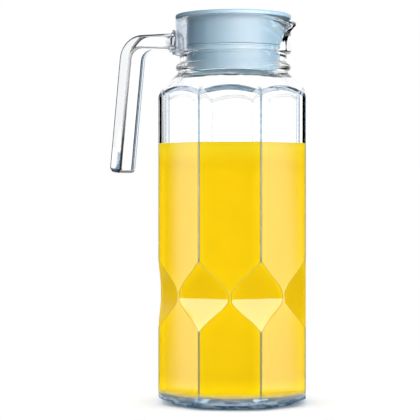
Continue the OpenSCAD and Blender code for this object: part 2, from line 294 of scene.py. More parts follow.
class Finishes(bpy.types.PropertyGroup):
    """Colours, as sRGB hex values."""

    glass: tint("Glass", "Soda-lime glass seen through its walls", "FDFEFF")
    # Painted shade: a blue-grey put on ridges and outlines for the dark surroundings seen
    # refracted at the glass's edges; it also colours the painted glow of rays caught in the glass
    painted_shade_and_glow: tint("Glass edge", "Glass seen along a ridge or at its outline", "7A8EA1")
    # Painted shade: dark lines on the handle's rounded edges and waving streaks on its weld
    painted_handle_shade: tint("Handle edge", "The handle's rounded edges, seen along much glass", "121E28")
    # Painted highlight and painted dark reflection: the bright and dark ends of the foot's streaks
    foot: tint("Foot", "Bright streaks in the thick glass of the foot and heel", "CFE8FF")
    painted_foot_dark_reflection: tint("Deep foot", "Dark streaks in the thick glass of the foot and heel", "4F80AA")
    juice: tint("Juice", "Orange juice", "FFDA02")
    froth: tint("Froth", "Juice just under its surface", "FFDC22")
    lid: tint("Lid", "Milky polypropylene", "435F70")
    seal: tint("Seal", "Soft elastomer", "56707F")
    floor: tint("Floor", "Pale floor", "F3F7FF")


def linear(hex_value):
    """An sRGB hex value as linear RGBA."""
    channels = [int(hex_value[i:i + 2], 16) / 255 for i in (0, 2, 4)]
    return [c / 12.92 if c <= 0.04045 else ((c + 0.055) / 1.055) ** 2.4 for c in channels] + [1]


def add_node(tree, kind, inputs=None, **settings):
    """Adds a shader node with its properties; each input is given as a socket or a value."""
    node = tree.nodes.new("ShaderNode" + kind)
    for key, value in settings.items():
        setattr(node, key, value)
    for key, value in (inputs or {}).items():
        if isinstance(value, bpy.types.NodeSocket):
            tree.links.new(value, node.inputs[key])
        else:
            node.inputs[key].default_value = value
    return node


def maths(tree, operation, *terms, clamp=False):
    """The result of a math node; each term is a socket or a number."""
    return add_node(tree, "Math", dict(enumerate(terms)), operation=operation,
                    use_clamp=clamp).outputs[0]


def vector_maths(tree, operation, *terms):
    """A vector math node; each term is a socket or a vector."""
    return add_node(tree, "VectorMath", dict(enumerate(terms)), operation=operation)


def dot(tree, way, direction):
    """How far a way reaches in a direction."""
    return vector_maths(tree, "DOT_PRODUCT", way, direction).outputs["Value"]


def ramp(tree, value, start, end, low=0, high=1):
    """Eases from low to high while a value goes from start to end."""
    return add_node(tree, "MapRange", {0: value, 1: start, 2: end, 3: low, 4: high},
                    interpolation_type="SMOOTHSTEP").outputs[0]


def spread(tree, value, low, high):
    """A value from 0 to 1, spread evenly from low to high."""
    return add_node(tree, "MapRange", {0: value, 3: low, 4: high}).outputs[0]


def mixed(tree, share, first, second, kind="FLOAT"):
    """Two numbers mixed by a share, or two colours where the kind is RGBA."""
    slot, result = {"FLOAT": (2, 0), "RGBA": (6, 2)}[kind]
    return add_node(tree, "Mix", {0: share, slot: first, slot + 1: second},
                    data_type=kind).outputs[result]


def noise(tree, place, scale, detail=2):
    """Noise at a place, with the cells for each metre."""
    return add_node(tree, "TexNoise",
                    {"Vector": place, "Scale": scale, "Detail": detail}).outputs["Fac"]


def object_place(tree):
    return add_node(tree, "TexCoord").outputs["Object"]


def attribute(tree, name):
    return add_node(tree, "Attribute", attribute_name=name).outputs["Fac"]


def new_material(name):
    material = bpy.data.materials.new(name)
    material.use_nodes = True
    material.node_tree.nodes.clear()
    return material, material.node_tree


def finished(material, shader):
    """Gives a material its surface."""
    add_node(material.node_tree, "OutputMaterial", {"Surface": shader.outputs[0]})
    return material


def lerp(a, b, share):
    return a + (b - a) * share


def smooth_share(share):
    return share * share * (3 - 2 * share)


def clamped(value, low=0, high=1):
    return max(low, min(high, value))


def soft_max(a, b, blend):
    """The larger of two lengths, with a rounded change-over."""
    return (a + b + math.hypot(a - b, blend)) / 2


def bend(start, corner, end, share):
    """A point of the round stretch from start to end that a corner pulls on."""
    first = [lerp(a, b, share) for a, b in zip(start, corner)]
    second = [lerp(a, b, share) for a, b in zip(corner, end)]
    return tuple(lerp(a, b, share) for a, b in zip(first, second))


def arc(centre, radius, first, last, steps):
    """Points of an arc in a plane, between two angles in degrees."""
    angles = [math.radians(lerp(first, last, i / steps)) for i in range(steps + 1)]
    return [(centre[0] + radius * math.cos(a), centre[1] + radius * math.sin(a)) for a in angles]


def level_way(angle):
    """A level direction, in degrees round the jug from its spout."""
    turn = math.radians(angle)
    return Vector((math.cos(turn), math.sin(turn), 0))


def notch_outline():
    """The scoop's outline as (share of depth, share of height), smoothed, from the bottom up."""
    points = [Vector(p) for p in reversed(NOTCH_SHARES)]
    last = len(points) - 1
    outline = []
    for i in range(last):
        a, b, c, d = (points[clamped(i + step, 0, last)] for step in (-1, 0, 1, 2))
        for step in range(NOTCH_STEPS):
            t = step / NOTCH_STEPS
            outline.append(b + t * ((c - a) / 2 + t * ((2 * a - 5 * b + 4 * c - d) / 2
                                                       + t * (3 * b - a - 3 * c + d) / 2)))
    return outline + [points[-1]]


def corner_radius(flats, trim):
    """Distance from the axis to a corner that is cut back."""
    return flats / 2 / math.cos(HALF_TURN) - trim


def corner_half(flats, depth, rounding):
    """Half a corner of the section: (towards the corner, sideways), from mid-flat on."""
    corner = corner_radius(flats, 0)
    half_side = flats / 2 * math.tan(HALF_TURN)

    def on_flat(run):
        return corner - run * math.sin(HALF_TURN), run * math.cos(HALF_TURN)

    run = depth / math.sin(HALF_TURN)
    half_chord = depth / math.tan(HALF_TURN)
    rounding = min(rounding, FLAT_LIMIT * (half_side - run))
    reach = min(rounding, CHORD_LIMIT * half_chord)
    start = run + rounding
    far = start + FLAT_START * rounding
    points = [on_flat(lerp(half_side, far, share)) for share in FLAT_SHARES]
    points += [bend(on_flat(start), on_flat(run), (corner - depth, half_chord - reach), share)
               for share in EDGE_SHARES]
    points += [(corner - depth, (half_chord - reach) * share) for share in SCOOP_SHARES]
    return points


def section(flats, depth, rounding):
    """The eight-sided section as (x, y) points, from the flat before the spout's corner."""
    half = corner_half(flats, depth, rounding)
    corner = [(x, -y) for x, y in half] + half[-2:0:-1]
    ring = []
    for side in range(SIDES):
        turn = side * SIDE_TURN
        c, s = math.cos(turn), math.sin(turn)
        ring += [(x * c - y * s, x * s + y * c) for x, y in corner]
    return ring


def all_round(half):
    """Values for a whole section, from those for half a corner."""
    return (half + half[-2:0:-1]) * SIDES


def even_angles():
    """Angles of the round rows: even, but closer together towards the spout."""
    per_side = 2 * (len(FLAT_SHARES) + len(EDGE_SHARES) + len(SCOOP_SHARES) - 1)
    angles = []
    for side in range(SIDES):
        for i in range(per_side):
            t = 2 * i / per_side - 1
            if side == 0:
                t = EVEN_SHARE * t + (1 - EVEN_SHARE) * t * abs(t) ** SPOUT_CROWD
            angles.append(side * SIDE_TURN + t * HALF_TURN)
    return angles


def polar_row(angles, place):
    """A row of points, from the radius and height that a function gives for each angle."""
    row = []
    for angle in angles:
        radius, height = place(angle)
        row.append((radius * math.cos(angle), radius * math.sin(angle), height))
    return row


def round_row(radius, height, angles):
    return polar_row(angles, lambda angle: (radius, height))


def polar(ring):
    """Radius and unwrapped angle of each point of a section."""
    radii = [math.hypot(x, y) for x, y in ring]
    angles = np.unwrap([math.atan2(y, x) for x, y in ring])
    return radii, list(angles)


def mode(name):
    bpy.ops.object.mode_set(mode=name)


def ring_row(ring, place):
    """A row along a section's points, from the radius and height for each point's own radius."""
    row = []
    for x, y in ring:
        r = math.hypot(x, y)
        radius, height = place(r)
        row.append((x * radius / r, y * radius / r, height))
    return row


def finish_skin():
    """Merges the edited piece's seams and poles, turns its faces outwards and leaves edit mode."""
    bpy.ops.mesh.select_all(action="SELECT")
    bpy.ops.mesh.remove_doubles(threshold=MERGE)
    bpy.ops.mesh.normals_make_consistent(inside=False)
    mode("OBJECT")


def grid_piece(name, rows, **marks):
    """A closed skin from rows of points: a grid is added, shaped and merged at its ends."""
    columns = len(rows[0])
    bpy.ops.object.select_all(action="DESELECT")
    bpy.ops.mesh.primitive_grid_add(x_subdivisions=columns, y_subdivisions=len(rows) - 1, size=1)
    piece = bpy.context.object
    piece.name = piece.data.name = name
    places = np.array([row + row[:1] for row in rows], np.float32)
    piece.data.vertices.foreach_set("co", places.ravel())
    for mark_name, values in marks.items():
        strength = [[v] * (columns + 1) if np.isscalar(v) else [*v, v[0]] for v in values]
        set_mark(piece, mark_name, np.array(strength, np.float32).ravel())
    mode("EDIT")
    finish_skin()
    bpy.ops.object.shade_smooth()
    return piece


def turned_piece(name, outline, steps):
    """A body of revolution: a loop of points is added and spun round the jug's axis."""
    bpy.ops.object.select_all(action="DESELECT")
    bpy.ops.mesh.primitive_circle_add(vertices=len(outline), fill_type="NOTHING")
    piece = bpy.context.object
    piece.name = piece.data.name = name
    for vertex, (radius, height) in zip(piece.data.vertices, outline):
        vertex.co = (radius, 0, height)
    mode("EDIT")
    bpy.ops.mesh.select_all(action="SELECT")
    bpy.ops.mesh.spin(steps=steps, angle=2 * math.pi, center=(0, 0, 0), axis=(0, 0, 1))
    finish_skin()
    return piece


def activate(piece):
    """Selects a piece alone and makes it the active one."""
    bpy.ops.object.select_all(action="DESELECT")
    piece.select_set(True)
    bpy.context.view_layer.objects.active = piece


def apply_modifier(piece, kind, **settings):
    """Adds a modifier and applies it."""
    modifier = piece.modifiers.new(kind.title(), kind)
    for key, value in settings.items():
        setattr(modifier, key, value)
    activate(piece)
    bpy.ops.object.modifier_apply(modifier=modifier.name)


def combine(piece, tool, operation):
    """Joins a tool body to a piece or cuts it out, and deletes the tool."""
    apply_modifier(piece, "BOOLEAN", operation=operation, solver="EXACT", object=tool)
    bpy.data.objects.remove(tool)


def soften(piece, width, segments=3, angle=30):
    """Rounds a piece's sharp edges and shades it smooth."""
    apply_modifier(piece, "BEVEL", width=width, segments=segments, limit_method="ANGLE",
                   angle_limit=math.radians(angle), harden_normals=False)
    bpy.ops.object.shade_smooth_by_angle(angle=math.radians(angle))
    apply_modifier(piece, "WEIGHTED_NORMAL", keep_sharp=True)


def set_mark(piece, name, values):
    """Gives every point of a piece a strength, in an attribute that its finish reads."""
    piece.data.attributes.new(name, "FLOAT", "POINT").data.foreach_set("value", values)


def dress(piece, material, body, slot=None, *nodes):
    """Gives a piece its finish and says what it moves with and stands for."""
    piece.data.materials.clear()
    piece.data.materials.append(material)
    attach(piece, body)
    if nodes:
        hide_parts(*nodes)


def glass_material(name, finish, painted_shade_hex, cloud):
    """Fire-polished soda-lime glass: clear through its walls, with painted blue-grey shade along
    its ridges that stands in for dark surroundings seen at its edges, a painted glow where rays
    are caught in it, and painted streaks of highlight and dark reflection where the foot is thick."""
    material, tree = new_material(name)
    thick = attribute(tree, "thick")
    side = add_node(tree, "NewGeometry")
    # Painted shade: where the edge attribute marks a ridge, the glass turns blue-grey
    ridge = maths(tree, "SUBTRACT", attribute(tree, "edge"), side.outputs["Backfacing"],
                  clamp=True)
    colour = mixed(tree, ridge, linear(finish.glass), linear(painted_shade_hex), "RGBA")
    # Painted streaks of highlight and dark reflection in the thick foot, from stretched noise
    flatter = add_node(tree, "Mapping",
                       {"Vector": object_place(tree), "Scale": STREAK_FLAT}).outputs[0]
    deep = ramp(tree, noise(tree, flatter, STREAK_SCALE), *STREAK_STEP)
    foot = mixed(tree, deep, linear(finish.painted_foot_dark_reflection), linear(finish.foot), "RGBA")
    faint = maths(tree, "MULTIPLY", ridge, RIDGE_SHARE)
    body = maths(tree, "MAXIMUM", thick, faint, clamp=True)
    shader = add_node(tree, "BsdfPrincipled", {
        "Base Color": mixed(tree, thick, colour, foot, "RGBA"),
        "Transmission Weight": spread(tree, body, 1, 1 - cloud), "Roughness": 0, "IOR": GLASS_IOR})
    # Painted glow: a ray caught in the glass past some bounces ends in light of the edge shade's
    # colour
    path = add_node(tree, "LightPath")
    caught = maths(tree, "GREATER_THAN", path.outputs["Ray Depth"], CAUGHT)
    painted_trapped_glow = add_node(tree, "Emission",
                     {"Color": linear(finish.painted_shade_and_glow), "Strength": TRAPPED_GLOW_LEVEL})
    mix = add_node(tree, "MixShader",
                   {0: caught, 1: shader.outputs[0], 2: painted_trapped_glow.outputs[0]})
    return finished(material, mix)


def juice_material(finish, foot_z, level):
    """Orange juice: cloudy and saturated, with a faint drift of pulp and a little froth. A faint
    glow at its two ends stands in for the light that the glass wall guides to them."""
    material, tree = new_material("orange_juice_cloudy")
    place = object_place(tree)
    pulp = noise(tree, place, PULP_SCALE, 3)
    height = add_node(tree, "SeparateXYZ", {0: place}).outputs[2]
    froth = ramp(tree, height, level - FROTH_AND_GLOW_DEPTH * MM, level)
    body = mixed(tree, froth, linear(finish.juice), linear(finish.froth), "RGBA")
    colour = add_node(tree, "HueSaturation",
                      {"Value": spread(tree, pulp, *JUICE_TONE), "Color": body}).outputs[0]
    foot = ramp(tree, height, *(foot_z + fade * MM for fade in GLOW_FADE), 0, GLOW_FOOT)
    side = maths(tree, "GREATER_THAN", height, foot_z + GLOW_START * MM)
    # Painted glow: the froth band and the foot give off light of the juice's colour
    ends = maths(tree, "MAXIMUM", froth, maths(tree, "MULTIPLY", foot, side))
    shader = add_node(tree, "BsdfPrincipled", {
        "Base Color": colour, "Roughness": JUICE_ROUGH, "IOR": JUICE_IOR,
        "Specular IOR Level": JUICE_SHINE, "Emission Color": colour,
        "Emission Strength": maths(tree, "MULTIPLY", ends, GUIDED_LIGHT)})
    return finished(material, shader)


def plastic_material(name, colour_hex, roughness, grain_mm, milkiness):
    """Moulded polyolefin: milky, with the fine satin grain of the mould."""
    material, tree = new_material(name)
    grain = noise(tree, object_place(tree), 1 / (grain_mm * MM))
    bump = add_node(tree, "Bump",
                    {"Height": grain, "Strength": GRAIN_RELIEF, "Distance": GRAIN_DEPTH * MM})
    colour = add_node(tree, "HueSaturation",
                      {"Value": spread(tree, grain, *GRAIN_TONE), "Color": linear(colour_hex)})
    shader = add_node(tree, "BsdfPrincipled", {
        "Base Color": colour.outputs[0], "Normal": bump.outputs[0],
        "Roughness": spread(tree, grain, roughness - ROUGH_SPREAD, roughness + ROUGH_SPREAD),
        "IOR": PLASTIC_IOR, "Specular IOR Level": 1, "Subsurface Weight": milkiness,
        "Subsurface Radius": MILK_REACH, "Subsurface Scale": MILK_DEPTH * MM})
    return finished(material, shader)


def body_levels(size, foot):
    """Rows of the eight-sided wall, from the foot's rounding to the shoulder: (height, share of
    the scoop's depth)."""
    low = size.notch_z - size.notch_h / 2
    high = size.notch_z + size.notch_h / 2
    shoulder = size.body_h - size.shoulder_h
    below = [(lerp(foot, low, share), 0) for share in BELOW_SHARES]
    scoop = [(size.notch_z + p[1] * size.notch_h, p[0]) for p in notch_outline()]
    above = [(lerp(high, shoulder, share), 0) for share in ABOVE_SHARES]
    return below + scoop + above


def wall_rows(size, flats, trim, rounding, scoop, foot):
    rows = []
    for height, share in body_levels(size, foot):
        ring = section(flats, math.hypot(trim, share * scoop), rounding)
        rows.append([(x, y, height) for x, y in ring])
    return rows


def slope(size):
    """Fall of the shoulder for each length outwards."""
    return size.shoulder_h / (corner_radius(size.across_flats, size.ridge_trim) - size.neck_r)


def shoulder_rows(size, ring, top, rounding, neck_r, angles):
    """Rows from the flats over the arched edge and up the cone, which is top high at neck_r."""
    fall = slope(size)
    radii, turns = polar(ring)
    inwards = rounding / math.hypot(1, fall)

    def over_edge(r, share):
        edge = top - (r - neck_r) * fall
        return bend((r, edge - rounding), (r, edge), (r - inwards, edge + inwards * fall), share)

    rows = [ring_row(ring, lambda r: over_edge(r, share)) for share in ARCH_SHARES]
    for share in CONE_SHARES:
        row = []
        for r, turn, even in zip(radii, turns, angles):
            radius = lerp(r - inwards, neck_r, share)
            angle = lerp(turn, even, smooth_share(share / CONE_SHARES[-1]))
            row.append((radius * math.cos(angle), radius * math.sin(angle),
                        top - (radius - neck_r) * fall))
        rows.append(row)
    return rows


def base_rows(ring, centre_r, round_r, centre_z, shares):
    """Rows over the rounding between the flats and a flat base, from the base up."""
    def place(r, share):
        reach = clamped((r - centre_r) / round_r, -1)
        angle = lerp(-math.pi / 2, -math.acos(reach), share)
        return centre_r + round_r * math.cos(angle), centre_z + round_r * math.sin(angle)

    return [ring_row(ring, lambda r: place(r, share)) for share in shares]


def vee(angle, tip, opening):
    """Radius of a V in plan at an angle, with its nose rounded."""
    side = math.hypot(math.sin(angle), NOSE) - NOSE
    return tip * math.tan(opening) / (side + math.cos(angle) * math.tan(opening))


def near_spout(angle, first, last):
    """1 in front of the spout, fading to 0 between two angles (degrees) beside it."""
    off = math.degrees(abs((angle + math.pi) % (2 * math.pi) - math.pi))
    return smooth_share(clamped((last - off) / (last - first)))


def rim_of(jug):
    """Height of the jug's rim."""
    return jug.body_h + jug.bead_h + jug.groove_h + jug.collar_h


def spout_share(size, height, drop):
    """How far up a spout a height lies; it starts some way below the rim."""
    lip = rim_of(size) - size.lip_drop
    start = lip + size.lip_drop - drop
    return clamped((height - start) / (lip - start), 0, SPOUT_OVER)


def spout_out(size, angle, height):
    """Outer radius of the collar, with the spout growing out of it."""
    near = near_spout(angle, *SPOUT_FADE)
    if near == 0:
        return size.collar_r
    half = size.spout_w / 2
    opening = math.atan2(half, size.spout_reach + size.collar_r
                         - math.sqrt(size.collar_r ** 2 - half ** 2))
    share = spout_share(size, height, size.spout_drop)
    side = vee(angle, size.collar_r + size.spout_reach * share ** SPOUT_POWER, opening)
    return lerp(size.collar_r, soft_max(size.collar_r, side, SPOUT_BLEND * MM), near)


def spout_in(size, angle, height):
    """Inner radius of the mouth, with the pouring channel cut into it."""
    near = near_spout(angle, *CHANNEL_FADE)
    if near == 0:
        return size.bore_r
    reach = size.collar_r + size.spout_reach - size.lip_wall - size.bore_r + MM
    share = spout_share(size, height, size.channel_drop)
    side = vee(angle, size.bore_r - MM + reach * share ** CHANNEL_POWER,
               math.radians(CHANNEL_OPENING))
    return lerp(size.bore_r, soft_max(size.bore_r, side, SPOUT_BLEND * MM), near)


def neck_rows(size, angles):
    """Rows over the bead, the groove, the collar with its spout, the rim and down the mouth."""
    bead_r = size.bead_h / 2
    groove_z = size.body_h + size.bead_h
    collar_z = groove_z + size.groove_h
    r, dip = size.rim_round, GROOVE_ROUND * MM
    outline = arc((size.neck_r + size.bead_out - bead_r, size.body_h + bead_r), bead_r,
                  *BEAD_ARC, BEAD_STEPS)
    outline += [(size.neck_r, groove_z + dip), (size.neck_r, lerp(groove_z, collar_z, 0.5)),
                (size.neck_r, collar_z - dip), (size.neck_r + dip, collar_z)]
    outline += arc((size.collar_r - r, collar_z + r), r, -90, 0, EDGE_STEPS)[:-1]

    def rim_height(angle):
        out = (spout_out(size, angle, rim_of(size)) - size.collar_r) / size.spout_reach
        return rim_of(size) - size.lip_drop * clamped(out)

    def wall(radius_at, low, share):
        def place(angle):
            height = lerp(low, rim_height(angle) - r, share)
            return radius_at(size, angle, height), height
        return polar_row(angles, place)

    def rim(radius_at, way, inwards, down):
        def place(angle):
            edge = rim_height(angle)
            return radius_at(size, angle, edge - r) + way * inwards * r, edge - down * r
        return polar_row(angles, place)

    rows = [round_row(radius, height, angles) for radius, height in outline]
    rows += [wall(spout_out, collar_z + r, share) for share in COLLAR_SHARES]
    rows += [rim(spout_out, -1, *step) for step in RIM_STEPS]
    rows += [rim(spout_in, 1, *step) for step in reversed(RIM_STEPS)]
    rows += [wall(spout_in, collar_z, share) for share in MOUTH_SHARES]
    return rows


def foot_rows(size, turns):
    """Rows from the middle of the base over the hollow and the foot ring to the heel."""
    hollow, r = size.foot_hollow, size.foot_round
    foot_in = size.foot_r - r - size.foot_ring_w
    outline = [(0, hollow), (foot_in / 2, hollow)]
    outline += [(foot_in - inwards * MM, hollow * rise) for inwards, rise in HOLLOW_EDGE]
    outline += [(foot_in + size.foot_ring_w / 2, 0)]
    outline += arc((size.foot_r - r, r), r, -90, 0, EDGE_STEPS)
    outline += [(size.foot_r + out * MM, size.foot_h - down * MM) for out, down in HEEL_STEP]
    return [round_row(radius, height, turns) for radius, height in outline]


def jug_rows(size):
    """All rows of the glass, from the middle of the base, up the outside and down the inside,
    with the numbers of the first row of the outer wall and of the row after it."""
    angles = even_angles()
    outer = section(size.across_flats, size.ridge_trim, size.ridge_round)
    corner = corner_radius(size.across_flats, size.ridge_trim)
    heel_z = size.foot_h + size.heel_round
    rows = foot_rows(size, polar(outer)[1])
    rows += base_rows(outer, corner - size.heel_round, size.heel_round, heel_z, HEEL_SHARES)
    first_wall = len(rows)
    rows += wall_rows(size, size.across_flats, size.ridge_trim, size.ridge_round,
                      size.notch_depth, heel_z)
    last_wall = len(rows)
    rows += shoulder_rows(size, outer, size.body_h, size.arch_round, size.neck_r, angles)
    rows += neck_rows(size, angles)
    flats = size.across_flats - 2 * size.wall
    inner = section(flats, size.inner_trim, size.inner_round)
    inner_top = size.body_h - size.wall * math.hypot(1, slope(size))
    mouth_foot = inner_top + (size.neck_r - size.bore_r) * slope(size)
    for out, height in ((0, lerp(mouth_foot, size.body_h + size.bead_h, 0.6)),
                        (0, mouth_foot + MM), (0.3 * MM, mouth_foot - 0.1 * MM)):
        rows.append(round_row(size.bore_r + out, height, angles))
    rows += reversed(shoulder_rows(size, inner, mouth_foot, INNER_ARCH * MM, size.bore_r, angles))
    floor_top = size.floor_z + size.floor_round
    rows += reversed(wall_rows(size, flats, size.inner_trim, size.inner_round, size.inner_scoop,
                               floor_top))
    floor_r = corner_radius(flats, size.inner_trim) - size.floor_round
    rows += base_rows(inner, floor_r, size.floor_round, floor_top, reversed(FLOOR_SHARES))
    rows += [round_row(floor_r * share, size.floor_z, polar(inner)[1])
             for share in reversed(DISC_SHARES)]
    return rows, first_wall, last_wall


def painted_line_marks(size, rows, first_wall, last_wall):
    """How strongly the points of each row show the painted dark edge shade."""
    marks = [0.0] * len(rows)
    # Painted dark edge lines: on rows of the foot, along the ridges and over the arched edge
    for i in FOOT_LINES:
        marks[i] = FOOT_LINE
    for i, (_, share) in enumerate(body_levels(size, size.foot_h + size.heel_round)):
        chord = clamped(1 - RIDGE_LOSS * share)
        marks[first_wall + i] = all_round([0] * len(FLAT_SHARES) + [chord, 1, 1, chord]
                                          + [chord] * len(SCOOP_SHARES))
    for i, strength in enumerate(ARCH_MARKS):
        marks[last_wall + i] = [max(strength, ridge) for ridge in marks[last_wall - 1]]
    return marks


def painted_streak_cloud_marks(size, rows, first_wall, last_wall):
    """How cloudy the points of each row are, which also brings in the foot's painted streaks of
    highlight and dark reflection: the foot, the arched edge with the ridges' ends below it, and
    the collar beside the weld, where it paints a frosty reflection."""
    marks = [0.0] * len(rows)
    for i, row in enumerate(rows[:first_wall]):
        height = min(point[2] for point in row)
        marks[i] = clamped((size.floor_z - height) / (FOOT_CLEARS * size.floor_z))
    ridge = [RIDGE_CLOUD] * (len(EDGE_SHARES) + len(SCOOP_SHARES))
    for i in range(last_wall - RIDGE_ROWS, last_wall):
        marks[i] = all_round([0] * len(FLAT_SHARES) + ridge)
    for i, strength in enumerate(ARCH_MARKS):
        marks[last_wall + i] = ARCH_CLOUD * strength
    # Painted reflection: the collar beside the weld is clouded into a frosty, streaked zone
    weld = [WELD_CLOUD * near_spout(a + math.pi, *WELD_FADE) for a in even_angles()]
    collar = last_wall + len(ARCH_SHARES) + len(CONE_SHARES) + BEAD_STEPS + 1 + GROOVE_ROWS
    for i in range(collar, collar + 1 + EDGE_STEPS + len(COLLAR_SHARES)):
        marks[i] = weld
    return marks


class JUG_OT_glass_body(bpy.types.Operator):
    """Models the pressed glass body with its scoops, foot, neck and spout"""

    bl_idname = "jug.glass_body"
    bl_label = "Glass body"

    def execute(self, context):
        size, finish = context.scene.jug_sizes, context.scene.jug_finishes
        skin = jug_rows(size)
        piece = grid_piece("pressed_glass_jug", skin[0], edge=painted_line_marks(size, *skin),
                           thick=painted_streak_cloud_marks(size, *skin))
        dress(piece, glass_material("soda_lime_glass_fire_polished", finish, finish.painted_shade_and_glow,
                                    GLASS_CLOUD), "jug", "clear_glass", "glass_jug")
        return {"FINISHED"}


class JUG_OT_handle(bpy.types.Operator):
    """Models the glass band handle: root, bend, leaning grip and round end, welded to the neck"""

    bl_idname = "jug.handle"
    bl_label = "Glass handle"

    def execute(self, context):
        size, jug, finish = (getattr(context.scene, name)
                             for name in ("handle_sizes", "jug_sizes", "jug_finishes"))
        root_x = -(jug.collar_r - ROOT_SINK * MM)
        centre = Vector((-(size.reach - size.bend_r), 0, size.top - size.bend_r))
        bpy.ops.object.select_all(action="DESELECT")
        bpy.ops.mesh.primitive_plane_add(size=1)
        piece = context.object
        piece.name = piece.data.name = "welded_glass_handle"
        for vertex, (side, low) in zip(piece.data.vertices, ((-1, 1), (1, 1), (-1, 0), (1, 0))):
            vertex.co = (root_x, side * size.width / 2, size.top - low * size.root_t)

        def draw_out(way, shares):
            for share in shares:
                bpy.ops.mesh.extrude_region_move(TRANSFORM_OT_translate={"value": way * share})

        mode("EDIT")
        bpy.ops.mesh.select_all(action="SELECT")
        draw_out(Vector((centre.x - root_x, 0, 0)), ROOT_STEPS)
        mode("OBJECT")
        thin = size.root_t - size.grip_t
        for vertex in piece.data.vertices:
            if vertex.co.z < size.top - size.root_t / 2 and vertex.co.x < root_x - MM:
                out = (root_x - vertex.co.x) / (root_x - centre.x)
                vertex.co.z += thin * min(1, out * THINNING)
        mode("EDIT")
        bpy.ops.mesh.spin(steps=BEND_STEPS, angle=math.pi / 2 - size.splay, center=centre,
                          axis=(0, 1, 0))
        lean, fall = math.sin(size.splay), math.cos(size.splay)
        run = (centre.z + size.bend_r * lean - size.end_z) / fall
        draw_out(Vector((-lean, 0, -fall)) * run, GRIP_STEPS)
        bpy.ops.mesh.select_all(action="SELECT")
        bpy.ops.mesh.normals_make_consistent(inside=False)
        mode("OBJECT")
        end = size.end_z + END_ZONE * MM
        round_edges(piece, size.end_r, 5, lambda v: v.z < end)
        round_edges(piece, size.edge_r, 4, lambda v: v.z > end)
        combine(piece, weld_body(size, jug), "UNION")
        activate(piece)
        bpy.ops.object.shade_smooth_by_angle(angle=math.radians(32))
        points = piece.data.vertices
        # Painted dark shade on the edge lines and the weld, and the root clouded with the foot's
        # painted streaks
        set_mark(piece, "edge", [float(painted_handle_line(size, point)) for point in points])
        set_mark(piece, "thick", [ROOT_CLOUD * (point.co.x > -WELD_END * MM) for point in points])
        dress(piece, glass_material("soda_lime_glass_handle", finish, finish.painted_handle_shade,
                                    HANDLE_CLOUD), "jug", "handle_glass", "glass_handle")
        return {"FINISHED"}


def weld_body(size, jug):
    """The lump where the handle was welded on: rounded, wavy and drawn out along the root."""
    middle = size.top - size.root_t / 2 - 0.6 * MM
    half_w, half_h = size.width / 2 + 0.6 * MM, size.weld_h / 2
    rings = []
    for i in range(WELD_SLICES + 1):
        share = i / WELD_SLICES
        x = lerp(MM - jug.collar_r, -jug.collar_r - size.weld_out - 1.4 * MM, share)
        swell = 1 + WELD_RIPPLE[0] * math.sin(WELD_RIPPLE[1] * share)
        swell -= TAPER * max(0, share - TAPER_START) ** 2
        ring = []
        for step in range(WELD_STEPS):
            turn = 2 * math.pi * step / WELD_STEPS
            wave = swell
            for reach, often, twist in ROUND_RIPPLES:
                wave += reach * math.sin(often * turn + twist * share)
            across, up = math.cos(turn), math.sin(turn)
            ring.append((x, math.copysign(abs(across) ** 0.5, across) * wave * half_w,
                         middle + math.copysign(abs(up) ** 0.6, up) * wave * half_h))
        rings.append(ring)
    return lofted("weld", rings)


def painted_handle_line(size, vertex):
    """How strongly a point on the handle shows painted dark shade: waving streaks on the weld, and
    lines on the rounded edges for the dark surroundings seen refracted there.
    """
    x, y, z = vertex.co
    if x > -WELD_END * MM:
        return 0.5 + 0.5 * math.sin(WELD_SHADE_WAVES[0] * z + WELD_SHADE_WAVES[1] * y)
    inwards = (size.width / 2 - abs(y)) / size.edge_r
    if not LINE_SHARES[0] < inwards < LINE_SHARES[1]:
        return 0
    if y > 0:
        return FAR_LINE
    return 1 if vertex.normal.z > vertex.normal.x or z < BEND_Z * MM else BEND_LINE


def round_edges(piece, radius, segments, wanted):
    """Bevels the sharp edges of a piece whose middle passes a test."""
    activate(piece)
    mode("EDIT")
    bpy.ops.mesh.select_mode(type="EDGE")
    bpy.ops.mesh.select_all(action="DESELECT")
    bpy.ops.mesh.edges_select_sharp(sharpness=math.radians(40))
    mode("OBJECT")
    mesh = piece.data
    for edge in mesh.edges:
        middle = (mesh.vertices[edge.vertices[0]].co + mesh.vertices[edge.vertices[1]].co) / 2
        edge.select = edge.select and wanted(middle)
    mode("EDIT")
    bpy.ops.mesh.bevel(offset=radius, segments=segments, profile=0.5, affect="EDGES")
    mode("OBJECT")


def lofted(name, rings):
    """A closed body through flat rings of points, with its two ends closed at their middles."""
    ends = [tuple(np.mean(ring, axis=0)) for ring in (rings[0], rings[-1])]
    return grid_piece(name, [[ends[0]] * len(rings[0])] + rings + [[ends[1]] * len(rings[0])])


def half_round(radius, gap, rounding, side, height):
    """Ring of a half-round outline beside the grip bar, with rounded corners."""
    across = math.sqrt((radius - rounding) ** 2 - (gap + rounding) ** 2)
    turn = math.degrees(math.atan2(gap + rounding, across))
    ring = arc((0, 0), radius, turn, 180 - turn, 40)
    ring += arc((-across, gap + rounding), rounding, 180 - turn, 270, 6)[1:]
    ring += arc((across, gap + rounding), rounding, -90, turn, 6)[:-1]
    return [(x, side * y, height) for x, y in ring]


def well_body(name, radius, gap, rounding, low, high, side):
    """A well with a rounded foot, as a solid."""
    rings = [half_round(radius - rounding + inwards, gap + rounding - inwards, rounding, side,
                        low + rounding + height)
             for inwards, height in arc((0, 0), rounding, -90, 0, 5)]
    rings.append(half_round(radius, gap, rounding, side, high))
    return lofted(name, rings)


